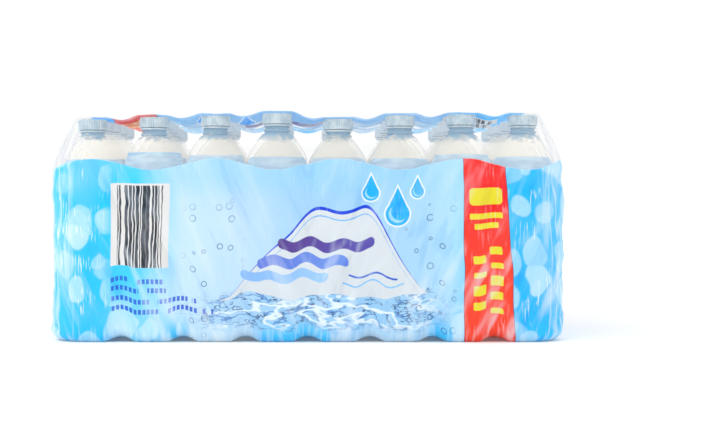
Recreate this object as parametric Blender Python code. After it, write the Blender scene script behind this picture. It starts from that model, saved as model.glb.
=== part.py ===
"""A shrink-wrapped case of forty half-litre water bottles, eight long and five deep.

The bottles stand in a square grid. A plastic wrap goes round the case as a sleeve: under
the bottles, up the front and back, over the caps. It is drawn in at both ends, where it
leaves an oval opening. Units are metres. +Z is up, the front faces -Y, and the origin is
under the middle of the case.
"""

from math import cos, hypot, pi, radians, sin
from random import Random

import bmesh
import bpy

# The grid of bottles
COLUMNS = 8
ROWS = 5
PITCH = 0.0615
LAST_X = (COLUMNS - 1) / 2 * PITCH
LAST_Y = (ROWS - 1) / 2 * PITCH

# One bottle, by its radii and by its heights above its own foot
BODY_R = 0.0304
FOOT_R = 0.0240
WAIST_R = 0.0290
SHOULDER_R = 0.0228
RING_R = 0.0132
NECK_R = 0.0120
CAP_R = 0.0148
FOOT_HEIGHT = 0.006
WAIST_LOW, WAIST_MIDDLE, WAIST_HIGH = 0.074, 0.088, 0.102
BODY_HEIGHT = 0.168
SHOULDER_HEIGHT = 0.1855
RING_LOW, RING_HIGH = 0.2005, 0.2023
CAP_LOW = 0.2080
BOTTLE_HEIGHT = 0.2185
CAP_GAP = 0.0003
BOTTLE_SIDES = 10

# The rows whose caps are pieces of their own, with the front as row 0
CAPPED_ROWS = (0, ROWS - 1)

# How far the tight wrap holds each bottle of the front row up, from left to right, and the
# most that it lifts any other
FRONT_LIFTS = (0.0, 0.0025, 0.004, 0.0062, 0.0005, 0.004, 0.005, 0.0045)
MOST_LIFT = 0.004

# The wrap
WRAP_THICKNESS = 0.0008
WRAP_CLEARANCE = 0.0009
BOTTLE_FOOT_Z = WRAP_THICKNESS + WRAP_CLEARANCE
SIDE_OUT = BODY_R + WRAP_THICKNESS + 0.0009
END_OUT = 0.0400
CAP_OUT = 0.0162
FOOT_OUT = 0.0255
WALL_STEPS = (0.088, 0.131)
SIDE_EDGE_HEIGHT = 0.009
END_EDGE_HEIGHT = 0.012
SHOULDER_Z = 0.174
SLOPE_MIDDLE_Z = 0.194
SLOPE_MIDDLE_SHARE = 0.68

# How far the wrap sags where no bottle carries it
SAG_BETWEEN_TWO = 0.0036
SAG_BETWEEN_FOUR = 0.0072
EDGE_RISE = 0.0050
EDGE_DRAW = 0.0025
WALL_DRAW = 0.0012
SLOPE_DRAW = 0.0045

# The oval opening at each end
OPENING_Z = 0.098
OPENING_HALF_WIDTH = 0.025
OPENING_HALF_HEIGHT = 0.021

# Steps of the wrap round a corner bottle, and from the end's edge in to the opening
CORNER_STEPS = 4
TOP_SHARES = (0.44, 0.76, 1.0)
SIDE_SHARES = (0.33, 0.66, 1.0)
FOOT_SHARES = (0.08, 0.25, 1.0)

CLEAR_BLUE = (0.80, 0.91, 0.96, 1.0)
CAP_WHITE = (0.90, 0.93, 0.95, 1.0)
WRAP_BLUE = (0.55, 0.84, 0.96, 1.0)


def clear_scene():
    """Removes every object that the file starts with."""
    for obj in list(bpy.data.objects):
        bpy.data.objects.remove(obj)


def plastic(name, colour, roughness):
    """A plain plastic material."""
    material = bpy.data.materials.new(name)
    material.use_nodes = True
    shader = material.node_tree.nodes["Principled BSDF"]
    shader.inputs["Base Color"].default_value = colour
    shader.inputs["Roughness"].default_value = roughness
    shader.inputs["Metallic"].default_value = 0.0
    return material


def new_object(name, mesh, material):
    """Links a mesh to the scene as a named object."""
    obj = bpy.data.objects.new(name, mesh)
    bpy.context.scene.collection.objects.link(obj)
    mesh.materials.append(material)
    return obj


def column_x(column):
    return column * PITCH - LAST_X


def row_y(row):
    return row * PITCH - LAST_Y


def bottle_lifts():
    """The lift of each bottle, by its row and column. Row 0 is the front."""
    draw = Random(40)
    lifts = {(0, column): lift for column, lift in enumerate(FRONT_LIFTS)}
    for row in range(1, ROWS):
        for column in range(COLUMNS):
            lifts[row, column] = draw.uniform(0.0, MOST_LIFT)
    return lifts


def turned(name, profile):
    """A closed solid that is turned about the upright axis, from its radii and heights."""
    shape = bmesh.new()
    corners = [shape.verts.new((radius, 0.0, z)) for radius, z in profile]
    edges = [shape.edges.new(pair) for pair in zip(corners, corners[1:])]
    bmesh.ops.spin(
        shape,
        geom=corners + edges,
        cent=(0.0, 0.0, 0.0),
        axis=(0.0, 0.0, 1.0),
        angle=2 * pi,
        steps=BOTTLE_SIDES,
        use_merge=True,
    )
    bmesh.ops.remove_doubles(shape, verts=shape.verts, dist=1e-5)
    bmesh.ops.holes_fill(shape, edges=shape.edges, sides=BOTTLE_SIDES)
    bmesh.ops.recalc_face_normals(shape, faces=shape.faces)
    mesh = bpy.data.meshes.new(name)
    shape.to_mesh(mesh)
    shape.free()
    mesh.shade_smooth()
    mesh.set_sharp_from_angle(angle=radians(50))
    return mesh


def make_bottles(lifts, bottle_material, cap_material):
    """Stands one bottle in each place of the grid, and puts its cap on."""
    body = (
        (FOOT_R, 0.0),
        (BODY_R, FOOT_HEIGHT),
        (BODY_R, WAIST_LOW),
        (WAIST_R, WAIST_MIDDLE),
        (BODY_R, WAIST_HIGH),
        (BODY_R, BODY_HEIGHT),
        (SHOULDER_R, SHOULDER_HEIGHT),
    )
    ring = ((RING_R, RING_LOW), (RING_R, RING_HIGH), (NECK_R, RING_HIGH))
    cap = ((CAP_R, CAP_LOW), (CAP_R, BOTTLE_HEIGHT))
    open_bottle = turned("open_bottle", body + ring + ((NECK_R, CAP_LOW - CAP_GAP),))
    closed_bottle = turned("closed_bottle", body + (ring[0],) + cap)
    loose_cap = turned("cap", cap)
    open_bottle.materials.append(bottle_material)
    closed_bottle.materials.append(bottle_material)
    loose_cap.materials.append(cap_material)
    for (row, column), lift in lifts.items():
        place = f"{row + 1}_{column + 1}"
        pieces = [(f"bottle_{place}", closed_bottle)]
        if row in CAPPED_ROWS:
            pieces = [(f"bottle_{place}", open_bottle), (f"cap_{place}", loose_cap)]
        for name, mesh in pieces:
            piece = bpy.data.objects.new(name, mesh)
            piece.location = (column_x(column), row_y(row), BOTTLE_FOOT_Z + lift)
            bpy.context.scene.collection.objects.link(piece)


def between(place, last):
    """0 over a bottle of one line of the grid, and 1 halfway between two of them."""
    place = min(max(place, -last), last)
    offset = abs((place + last + PITCH / 2) % PITCH - PITCH / 2)
    return min(max((offset - CAP_OUT) / (PITCH / 2 - CAP_OUT), 0.0), 1.0)


def top_height(x, y, lifts):
    """The wrap's height over the caps: it rests on each cap, and sags between them."""
    column = (min(max(x, -LAST_X), LAST_X) + LAST_X) / PITCH
    row = (min(max(y, -LAST_Y), LAST_Y) + LAST_Y) / PITCH
    nearest = []
    for near_row in {int(row), min(int(row) + 1, ROWS - 1)}:
        for near_column in {int(column), min(int(column) + 1, COLUMNS - 1)}:
            distance = hypot(row - near_row, column - near_column)
            nearest.append((distance, lifts[near_row, near_column]))
    reach = CAP_OUT * 2 ** 0.5 / PITCH
    carried = [lift for distance, lift in nearest if distance <= reach + 1e-6]
    lift = carried[0] if carried else sum(lift for _, lift in nearest) / len(nearest)
    across, along = between(x, LAST_X), between(y, LAST_Y)
    sag = SAG_BETWEEN_TWO * max(across, along)
    sag += (SAG_BETWEEN_FOUR - SAG_BETWEEN_TWO) * min(across, along)
    return BOTTLE_FOOT_Z + BOTTLE_HEIGHT + lift + BOTTLE_FOOT_Z - sag


def girth_stations():
    """What the wrap passes on its way round: under, up the front, over, down the back."""
    half = [("under", LAST_Y / 3), ("under", LAST_Y * 2 / 3)]
    half += [("edge", angle) for angle in (0.0, pi / 4, pi / 2)]
    half += [("wall", z) for z in (*WALL_STEPS, SHOULDER_Z)]
    half += [("slope", SLOPE_MIDDLE_Z), ("top", LAST_Y + CAP_OUT)]
    for row in reversed(range(ROWS // 2, ROWS)):
        if row < ROWS - 1:
            half.append(("top", row_y(row) + CAP_OUT))
        if row > ROWS // 2:
            half.append(("top", row_y(row) - CAP_OUT))
            half.append(("top", row_y(row) - PITCH / 2))
    front = [(kind, place, -1) for kind, place in half]
    back = [(kind, place, 1) for kind, place in reversed(half)]
    return [("under", 0.0, 1)] + front + back


def out_at(z, top_z, out, edge_height):
    """How far the wrap stands out from the axes of the outer bottles, at one height."""
    if z < edge_height:
        share = (1 - (1 - max(z, 0.0) / edge_height) ** 2) ** 0.5
        return FOOT_OUT + (out - FOOT_OUT) * share
    if z <= SHOULDER_Z:
        return out
    middle = CAP_OUT + (out - CAP_OUT) * SLOPE_MIDDLE_SHARE
    if z < SLOPE_MIDDLE_Z:
        share = (z - SHOULDER_Z) / (SLOPE_MIDDLE_Z - SHOULDER_Z)
        return out + (middle - out) * share
    share = min((z - SLOPE_MIDDLE_Z) / (top_z - SLOPE_MIDDLE_Z), 1.0)
    return middle + (CAP_OUT - middle) * share


def round_corner(station, x, turn, lifts):
    """A point of the wrap beside column x, turned by an angle round the last bottle."""
    kind, place, side = station
    gap = between(x, LAST_X)
    out = SIDE_OUT * cos(turn) ** 2 + END_OUT * sin(turn) ** 2
    edge_height = SIDE_EDGE_HEIGHT * cos(turn) ** 2 + END_EDGE_HEIGHT * sin(turn) ** 2
    if kind in ("under", "top") and place <= LAST_Y + 1e-6:
        reach = CAP_OUT if kind == "top" else FOOT_OUT
        x += (reach if x > 0 else -reach) * turn / (pi / 2)
        z = top_height(x, side * place, lifts) if kind == "top" else 0.0
        return x, side * place, z
    if kind == "edge":
        radius = FOOT_OUT + (out - FOOT_OUT - EDGE_DRAW * gap) * sin(place)
        z = edge_height * (1 - cos(place)) + EDGE_RISE * gap * sin(place)
    elif kind == "wall":
        radius = out - (WALL_DRAW * gap if place < SHOULDER_Z else 0.0)
        z = place
    elif kind == "slope":
        radius = out_at(place, 1.0, out, edge_height) - SLOPE_DRAW * gap
        z = place
    else:
        radius = CAP_OUT
        z = top_height(x, side * LAST_Y, lifts)
    across = x + (radius if x > 0 else -radius) * sin(turn)
    return across, side * (LAST_Y + radius * cos(turn)), z


def end_loops(corner_loop, end):
    """The wrap's loops from the end's edge in to the rim of the oval opening."""
    loops = []
    for top_share, side_share, foot_share in zip(TOP_SHARES, SIDE_SHARES, FOOT_SHARES):
        loop = []
        for _, y, z in corner_loop:
            top_z = max(z, SHOULDER_Z + 0.05)
            at_top = min(max((z - SHOULDER_Z) / (top_z - SHOULDER_Z), 0.0), 1.0)
            at_foot = min(max(1 - z / WALL_STEPS[0], 0.0), 1.0)
            share = at_top * top_share + at_foot * foot_share
            share += (1 - at_top - at_foot) * side_share
            toward_y = y / OPENING_HALF_WIDTH
            toward_z = (z - OPENING_Z) / OPENING_HALF_HEIGHT
            reach = hypot(toward_y, toward_z)
            new_y = y + (y / reach - y) * share
            new_z = z + (OPENING_Z + (z - OPENING_Z) / reach - z) * share
            out = out_at(new_z, top_z, END_OUT, END_EDGE_HEIGHT)
            out -= SLOPE_DRAW * between(y, LAST_Y) * at_top * (1 - share)
            loop.append((end * (LAST_X + out), new_y, new_z))
        loops.append(loop)
    return loops


def wrap_loops(lifts):
    """Closed loops of points round the case, from the left opening to the right one."""
    stations = girth_stations()
    places = []
    for column in range(COLUMNS):
        x = column_x(column)
        places += [x - CAP_OUT] if column else []
        places += [x] if column in (0, COLUMNS - 1) else []
        places += [x + CAP_OUT, x + PITCH / 2] if column < COLUMNS - 1 else []
    middle = [[round_corner(s, x, 0.0, lifts) for s in stations] for x in places]
    ends = {}
    for end in (-1, 1):
        turns = [pi / 2 * step / CORNER_STEPS for step in range(1, CORNER_STEPS + 1)]
        corner = [[round_corner(s, end * LAST_X, turn, lifts) for s in stations] for turn in turns]
        ends[end] = corner + end_loops(corner[-1], end)
    return ends[-1][::-1] + middle + ends[1]


def make_wrap(lifts, material):
    """The sleeve: its loops of points are bridged, and the skin is given its thickness."""
    shape = bmesh.new()
    before = None
    for points in wrap_loops(lifts):
        corners = [shape.verts.new(point) for point in points]
        edges = [shape.edges.new(pair) for pair in zip(corners, corners[1:] + corners[:1])]
        if before:
            for index, corner in enumerate(corners):
                follower = (index + 1) % len(corners)
                shape.faces.new((before[index], before[follower], corners[follower], corner))
        before = corners
    bmesh.ops.recalc_face_normals(shape, faces=shape.faces)
    bottom = min(shape.faces, key=lambda face: face.calc_center_median().z)
    if bottom.normal.z > 0:
        bmesh.ops.reverse_faces(shape, faces=shape.faces)
    mesh = bpy.data.meshes.new("wrap")
    shape.to_mesh(mesh)
    shape.free()
    mesh.shade_smooth()
    wrap = new_object("wrap", mesh, material)
    skin = wrap.modifiers.new("Skin", "SOLIDIFY")
    skin.thickness = WRAP_THICKNESS
    skin.offset = -1.0
    skin.use_rim = True
    return wrap


def main():
    clear_scene()
    lifts = bottle_lifts()
    make_bottles(
        lifts,
        plastic("clear_bottle", CLEAR_BLUE, 0.1),
        plastic("white_cap", CAP_WHITE, 0.35),
    )
    make_wrap(lifts, plastic("printed_wrap", WRAP_BLUE, 0.25))


main()
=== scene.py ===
"""Dresses the case of bottled water: its printed wrap, the bottles with water, caps and labels."""

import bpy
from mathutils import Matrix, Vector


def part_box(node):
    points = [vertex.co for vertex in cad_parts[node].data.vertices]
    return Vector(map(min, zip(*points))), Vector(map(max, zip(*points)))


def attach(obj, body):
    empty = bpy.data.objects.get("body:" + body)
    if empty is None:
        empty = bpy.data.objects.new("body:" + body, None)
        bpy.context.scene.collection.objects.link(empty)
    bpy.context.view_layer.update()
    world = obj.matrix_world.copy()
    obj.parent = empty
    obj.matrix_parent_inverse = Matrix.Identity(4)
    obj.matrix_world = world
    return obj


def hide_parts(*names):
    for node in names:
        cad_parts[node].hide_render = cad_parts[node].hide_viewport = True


bl_info = {
    "name": "Case of Bottled Water",
    "version": (1, 0, 0),
    "blender": (4, 5, 0),
    "location": "3D View > Sidebar > Water Case",
    "description": "Builds the wrap, bottles, water, caps, labels and studio of a case of water",
    "category": "Object",
}

from math import cos, exp, hypot, pi, radians, sin
from random import Random

import bpy
from mathutils import Vector, noise

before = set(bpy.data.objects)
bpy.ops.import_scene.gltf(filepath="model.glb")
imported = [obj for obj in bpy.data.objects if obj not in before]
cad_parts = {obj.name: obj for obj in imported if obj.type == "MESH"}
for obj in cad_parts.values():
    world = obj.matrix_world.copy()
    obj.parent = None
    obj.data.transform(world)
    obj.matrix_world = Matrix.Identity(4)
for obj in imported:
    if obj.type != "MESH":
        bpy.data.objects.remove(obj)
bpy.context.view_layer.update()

# The grid of bottles
COLUMNS = 8
ROWS = 5
PITCH = 0.0615
LAST_X = (COLUMNS - 1) / 2 * PITCH
LAST_Y = (ROWS - 1) / 2 * PITCH
BOTTLE_FOOT_Z = 0.0017
BOTTLE_HEIGHT = 0.2185

# The wrap, as the case's solids have it
SIDE_OUT = 0.0321
END_OUT = 0.0400
CAP_OUT = 0.0162
FOOT_OUT = 0.0255
SIDE_EDGE_HEIGHT = 0.009
END_EDGE_HEIGHT = 0.012
LOW_WALL_Z = 0.088
SHOULDER_Z = 0.174
SLOPE_MIDDLE_Z = 0.194
SLOPE_MIDDLE_SHARE = 0.68
SAG_BETWEEN_TWO = 0.0036
SAG_BETWEEN_FOUR = 0.0072
EDGE_RISE = 0.0050
EDGE_DRAW = 0.0025
FOOT_DRAW = 0.0080
WALL_DRAW = 0.0012
SLOPE_DRAW = 0.0045
END_DRAW = 0.0035
OPENING_Z = 0.098
OPENING_HALF_WIDTH = 0.025
OPENING_HALF_HEIGHT = 0.021
TOP_SHARES = (0.0, 0.44, 0.76, 1.0)
SIDE_SHARES = (0.0, 0.33, 0.66, 1.0)
FOOT_SHARES = (0.0, 0.08, 0.25, 1.0)

# How much higher or lower the water stands in the front bottles, left to right
FRONT_FILLS = (0.0, 0.0045, 0.0, -0.0036, 0.0, -0.0030, 0.0, -0.0018)
FILL_RANGE = 0.0015

# Where the film passes the first caps, the last caps and the back foot, along its own length
# from the front foot, and how much of it goes round the foot's edge and in to an opening
FIRST_CAPS = 0.2265
LAST_CAPS = FIRST_CAPS + 2 * (LAST_Y + CAP_OUT)
BACK_FOOT = LAST_CAPS + FIRST_CAPS
EDGE_FILM = 0.004
END_FILM = 0.105

# How many steps the wrap's mesh takes along the case, round a corner and in to an opening
STRAIGHT_STEPS = 112
CORNER_STEPS = 12
INWARD_STEPS = 26

# The printed design
PRINT_LENGTH = 0.54
PRINT_EDGE = 0.1754
TOP_PRINT_END = 0.218
TOP_PRINT_SETBACK = 0.085
SWELL_MIDDLE = 0.014
PANEL_MIDDLE = -0.165
BAR_WIDTH = 0.00095
LINE_START = -0.194
DASH_LENGTH = 0.0043
BAND_MIDDLE = 0.1797

# The cap and its band, above the bottle's foot
CAP_FOOT_Z = 0.2081
CAP_RIB_SHARE = 0.945
BAND_PROFILE = [(0.0134, 0.2058), (0.0138, 0.2061), (0.0138, 0.2073), (0.0134, 0.2076)]
BAND_SIDES = 40

# The label
LABEL_RADIUS = 0.03015
LABEL_HEIGHT = 0.044
LABEL_MIDDLE_Z = 0.1268

# The camera, fitted to the photograph: its level axis meets the picture at AXIS_PIXEL
PHOTO_WIDTH = 714
PHOTO_HEIGHT = 421
FOCAL_PIXELS = 1598.0
AXIS_PIXEL = (307.8, 207.0)
SENSOR_WIDTH = 36.0
CAMERA_HEIGHT = 0.133
AIM_HEIGHT = 0.12

BLACK = (0.0, 0.0, 0.0, 1.0)
WHITE = (1.0, 1.0, 1.0, 1.0)


def paint(red, green, blue):
    """A colour from its display values, 0 to 255."""
    values = [value / 255 for value in (red, green, blue)]
    return tuple(v / 12.92 if v < 0.04 else ((v + 0.055) / 1.055) ** 2.4 for v in values) + (1.0,)


# Making pieces


def select_only(*pieces):
    """Selects these pieces alone, in object mode, and makes the first one active."""
    if bpy.context.object and bpy.context.object.mode != "OBJECT":
        bpy.ops.object.mode_set(mode="OBJECT")
    bpy.ops.object.select_all(action="DESELECT")
    for piece in pieces:
        piece.select_set(True)
    if pieces:
        bpy.context.view_layer.objects.active = pieces[0]


def turn_profile(name, profile, sides):
    """Turns a closed solid about the upright axis: a disc is extruded up its radii and heights."""
    select_only()
    radius, height = profile[0]
    bpy.ops.mesh.primitive_circle_add(
        vertices=sides, radius=radius, fill_type="NGON", location=(0.0, 0.0, height)
    )
    piece = bpy.context.object
    piece.name = name
    bpy.ops.object.transform_apply(location=True, rotation=False, scale=False)
    bpy.ops.object.mode_set(mode="EDIT")
    bpy.ops.mesh.select_mode(type="FACE")
    bpy.ops.mesh.select_all(action="SELECT")
    for next_radius, next_height in profile[1:]:
        bpy.ops.mesh.extrude_region_move(
            TRANSFORM_OT_translate={"value": (0.0, 0.0, next_height - height)}
        )
        if next_radius != radius:
            share = next_radius / radius
            bpy.ops.transform.resize(
                value=(share, share, 1.0), center_override=(0.0, 0.0, next_height)
            )
        radius, height = next_radius, next_height
    bpy.ops.mesh.select_all(action="SELECT")
    bpy.ops.mesh.normals_make_consistent(inside=False)
    bpy.ops.object.mode_set(mode="OBJECT")
    return piece


def stand_copies(piece, places, rises=None):
    """Puts a copy of a piece at each place, its top raised if asked, and joins them."""
    name = piece.name
    top = max(vertex.co.z for vertex in piece.data.vertices) - 0.002
    copies = []
    for number, place in enumerate(places):
        copy = piece.copy()
        copy.data = piece.data.copy()
        copy.location = place
        for vertex in copy.data.vertices if rises else ():
            vertex.co.z += rises[number] if vertex.co.z > top else 0.0
        bpy.context.scene.collection.objects.link(copy)
        copies.append(copy)
    mesh = piece.data
    bpy.data.objects.remove(piece)
    bpy.data.meshes.remove(mesh)
    select_only(*copies)
    bpy.ops.object.join()
    joined = bpy.context.object
    bpy.ops.object.transform_apply(location=True, rotation=True, scale=True)
    joined.name = name
    return joined


def finish_piece(piece, material, nodes=(), angle=35):
    """Shades a piece smooth, gives it its material, and hides the parts that it stands for."""
    select_only(piece)
    bpy.ops.object.shade_smooth_by_angle(angle=radians(angle))
    piece.data.materials.clear()
    piece.data.materials.append(material)
    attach(piece, "root")
    if nodes:
        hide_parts(*nodes)


def bottle_node(row, column):
    return f"bottle_{row + 1}_{column + 1}"


def bottle_lift(row, column):
    """How far the wrap holds a bottle up, as the case's solids have it."""
    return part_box(bottle_node(row, column))[0][2] - BOTTLE_FOOT_Z


LIFTS = [[bottle_lift(row, column) for column in range(COLUMNS)] for row in range(ROWS)]


def bottle_places():
    """Where each bottle's foot stands."""
    return [
        (column * PITCH - LAST_X, row * PITCH - LAST_Y, BOTTLE_FOOT_Z + LIFTS[row][column])
        for row in range(ROWS)
        for column in range(COLUMNS)
    ]


# Node helpers


class Graph:
    """Places the nodes of one tree. Each call returns a node or its output socket."""

    def __init__(self, tree):
        self.tree = tree

    def node(self, kind, inputs=(), **settings):
        """A new shader node, with its inputs linked or set."""
        node = self.tree.nodes.new(f"ShaderNode{kind}")
        for name, value in settings.items():
            setattr(node, name, value)
        self.fill(node, inputs)
        return node

    def put(self, value, socket):
        """Links an input to a socket, or sets it to a value."""
        if isinstance(value, bpy.types.NodeSocket):
            self.tree.links.new(value, socket)
        else:
            socket.default_value = value

    def fill(self, node, values):
        """Links or sets a node's inputs, given by name or number."""
        for name, value in dict(values).items():
            self.put(value, node.inputs[name])

    def group(self, tree, inputs):
        """The outputs of a node group that is placed here."""
        node = self.node("Group", node_tree=tree)
        self.fill(node, inputs)
        return node.outputs

    def calc(self, operation, *terms):
        return self.node("Math", enumerate(terms), operation=operation).outputs[0]

    def add(self, a, b):
        return self.calc("ADD", a, b)

    def less(self, a, b):
        return self.calc("SUBTRACT", a, b)

    def times(self, a, b):
        return self.calc("MULTIPLY", a, b)

    def most(self, a, b):
        return self.calc("MAXIMUM", a, b)

    def least(self, a, b):
        return self.calc("MINIMUM", a, b)

    def absolute(self, a):
        return self.calc("ABSOLUTE", a)

    def ease(self, value, low, high, to_low=0.0, to_high=1.0):
        """A smooth step of a value, from one number at low to another at high."""
        return self.node(
            "MapRange",
            {"Value": value, "From Min": low, "From Max": high, "To Min": to_low, "To Max": to_high},
            interpolation_type="SMOOTHSTEP",
        ).outputs[0]

    def inside(self, distance, soft=0.0005):
        """1 where a signed distance is below nothing, with a soft edge."""
        return self.ease(distance, -soft, soft, 1.0, 0.0)

    def band(self, value, middle, half):
        """The distance from a band of values about a middle: negative in it."""
        return self.less(self.absolute(self.less(value, middle)), half)

    def block(self, x, y, middle, half, round_by=0.001):
        """The distance from a rectangle with round corners."""
        across = self.add(self.band(x, middle[0], half[0]), round_by)
        up = self.add(self.band(y, middle[1], half[1]), round_by)
        outer = self.length(self.at(self.most(across, 0.0), self.most(up, 0.0)))
        inner = self.least(self.most(across, up), 0.0)
        return self.less(self.add(outer, inner), round_by)

    def at(self, x, y, z=0.0):
        """A vector of its three parts."""
        return self.node("CombineXYZ", {"X": x, "Y": y, "Z": z}).outputs[0]

    def parts(self, vector):
        """A vector's three parts, named X, Y and Z."""
        return self.node("SeparateXYZ", {0: vector}).outputs

    def length(self, vector):
        return self.node("VectorMath", {0: vector}, operation="LENGTH").outputs["Value"]

    def mix(self, share, a, b, blend="MIX"):
        """Colour a, and colour b by its share."""
        settings = {"data_type": "RGBA", "blend_type": blend}
        return self.node("Mix", {0: share, 6: a, 7: b}, **settings).outputs[2]

    def stamp(self, colour, distance, tint, soft=0.0005):
        """A colour with a tint put on it inside a shape, given by its signed distance."""
        return self.mix(self.inside(distance, soft), colour, tint)

    def cover(self, colour, tint, mask, share):
        """A colour with a tint laid over it, by a share of a mask."""
        return self.mix(self.times(mask, share), colour, tint)

    def between(self, share, a, b):
        """Number a, and number b by its share."""
        return self.node("Mix", {0: share, 2: a, 3: b}, data_type="FLOAT").outputs[0]

    def noise(self, vector, scale, detail=2.0, roughness=0.5):
        return self.node(
            "TexNoise",
            {"Vector": vector, "Scale": scale, "Detail": detail, "Roughness": roughness},
        ).outputs[0]

    def drift(self, vector, scale, amount, detail=1.0, roughness=0.5):
        """A soft random shift to both sides of nothing."""
        return self.times(self.less(self.noise(vector, scale, detail, roughness), 0.5), amount)

    def local(self):
        """The piece's own coordinates, in metres."""
        return self.node("TexCoord").outputs["Object"]

    def facing(self, blend):
        """0 where a surface faces the view, rising to 1 at its edge."""
        return self.node("LayerWeight", {"Blend": blend}).outputs["Facing"]

    def seen(self):
        """1 for what the camera sees, and 0 for the light's other ways."""
        return self.node("LightPath").outputs["Is Camera Ray"]

    def bump(self, height, strength, distance):
        inputs = {"Height": height, "Strength": strength, "Distance": distance}
        return self.node("Bump", inputs).outputs[0]

    def ramp(self, value, stops):
        """A colour that runs through the stops, each a place from 0 to 1 and a colour."""
        node = self.node("ValToRGB", {"Fac": value})
        elements = node.color_ramp.elements
        elements[0].position, elements[0].color = stops[0]
        elements[1].position, elements[1].color = stops[-1]
        for place, colour in stops[1:-1]:
            elements.new(place).color = colour
        return node.outputs[0]


def new_group(name, inputs, outputs):
    """A shader node group with named sockets, and its Graph, inputs and outputs."""
    tree = bpy.data.node_groups.new(name, "ShaderNodeTree")
    for way, sockets in (("INPUT", inputs), ("OUTPUT", outputs)):
        for socket, kind in sockets:
            tree.interface.new_socket(socket, in_out=way, socket_type=f"NodeSocket{kind}")
    given, result = tree.nodes.new("NodeGroupInput"), tree.nodes.new("NodeGroupOutput")
    return tree, Graph(tree), given.outputs, result.inputs


def new_material(name):
    """A material, its Graph and its Principled BSDF."""
    material = bpy.data.materials.new(name)
    material.use_nodes = True
    shader = material.node_tree.nodes["Principled BSDF"]
    return material, Graph(material.node_tree), shader


# The shape of the wrap


def gap_between(place, last):
    """0 over a bottle of one line of the grid, rising smoothly to 1 between two of them."""
    place = min(max(place, -last), last)
    offset = abs((place + last + PITCH / 2) % PITCH - PITCH / 2)
    share = min(max((offset - CAP_OUT) / (PITCH / 2 - CAP_OUT), 0.0), 1.0)
    return sin(share * pi / 2)


def step_share(place, count):
    """The line of bottles below a place, and how far on it is to the next one."""
    place = min(max(place, 0.0), count - 1.0)
    low = min(int(place), count - 2)
    flat = CAP_OUT / PITCH
    share = min(max((place - low - flat) / (1 - 2 * flat), 0.0), 1.0)
    return low, share * share * (3 - 2 * share)


def top_height(x, y):
    """The wrap's height over the caps: it rests on each cap, and sags between them."""
    column, across = step_share((x + LAST_X) / PITCH, COLUMNS)
    row, along = step_share((y + LAST_Y) / PITCH, ROWS)
    near = LIFTS[row][column] * (1 - across) + LIFTS[row][column + 1] * across
    far = LIFTS[row + 1][column] * (1 - across) + LIFTS[row + 1][column + 1] * across
    lift = near * (1 - along) + far * along
    across, along = gap_between(x, LAST_X), gap_between(y, LAST_Y)
    sag = SAG_BETWEEN_TWO * max(across, along)
    sag += (SAG_BETWEEN_FOUR - SAG_BETWEEN_TWO) * min(across, along)
    return 2 * BOTTLE_FOOT_Z + BOTTLE_HEIGHT + lift - sag


def out_at(z, top_z, out, edge_height):
    """How far the wrap stands out from the axes of the outer bottles, at one height."""
    if z < edge_height:
        share = (1 - (1 - max(z, 0.0) / edge_height) ** 2) ** 0.5
        return FOOT_OUT + (out - FOOT_OUT) * share
    if z <= SHOULDER_Z:
        return out
    middle = CAP_OUT + (out - CAP_OUT) * SLOPE_MIDDLE_SHARE
    if z < SLOPE_MIDDLE_Z:
        share = (z - SHOULDER_Z) / (SLOPE_MIDDLE_Z - SHOULDER_Z)
        return out + (middle - out) * share
    share = min((z - SLOPE_MIDDLE_Z) / (top_z - SLOPE_MIDDLE_Z), 1.0)
    return middle + (CAP_OUT - middle) * share


def blend(ends, share):
    """A number between two others."""
    return ends[0] + (ends[1] - ends[0]) * share


def girth_stations():
    """What the wrap passes on its way round, each with its place along the length of film."""
    under = LAST_Y + FOOT_OUT + EDGE_FILM
    middle = FIRST_CAPS + LAST_Y + CAP_OUT
    half = []
    for kind, steps, places, film in (
        ("under", 8, (0.0, LAST_Y), (-under, LAST_Y - under)),
        ("edge", 8, (0.0, pi / 2), (-EDGE_FILM, SIDE_EDGE_HEIGHT)),
        ("wall", 44, (0.0, 1.0), (SIDE_EDGE_HEIGHT, SHOULDER_Z)),
        ("slope", 16, (0.0, 1.0), (SHOULDER_Z, FIRST_CAPS)),
        ("top", 56, (LAST_Y + CAP_OUT, 0.0), (FIRST_CAPS, middle)),
    ):
        for step in range(steps):
            share = step / steps
            half.append((kind, blend(places, share), blend(film, share)))
    front = [(kind, place, -1, along) for kind, place, along in half]
    back = [(kind, place, 1, 2 * middle - along) for kind, place, along in reversed(half)]
    return front + [("top", 0.0, -1, middle)] + back


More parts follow.
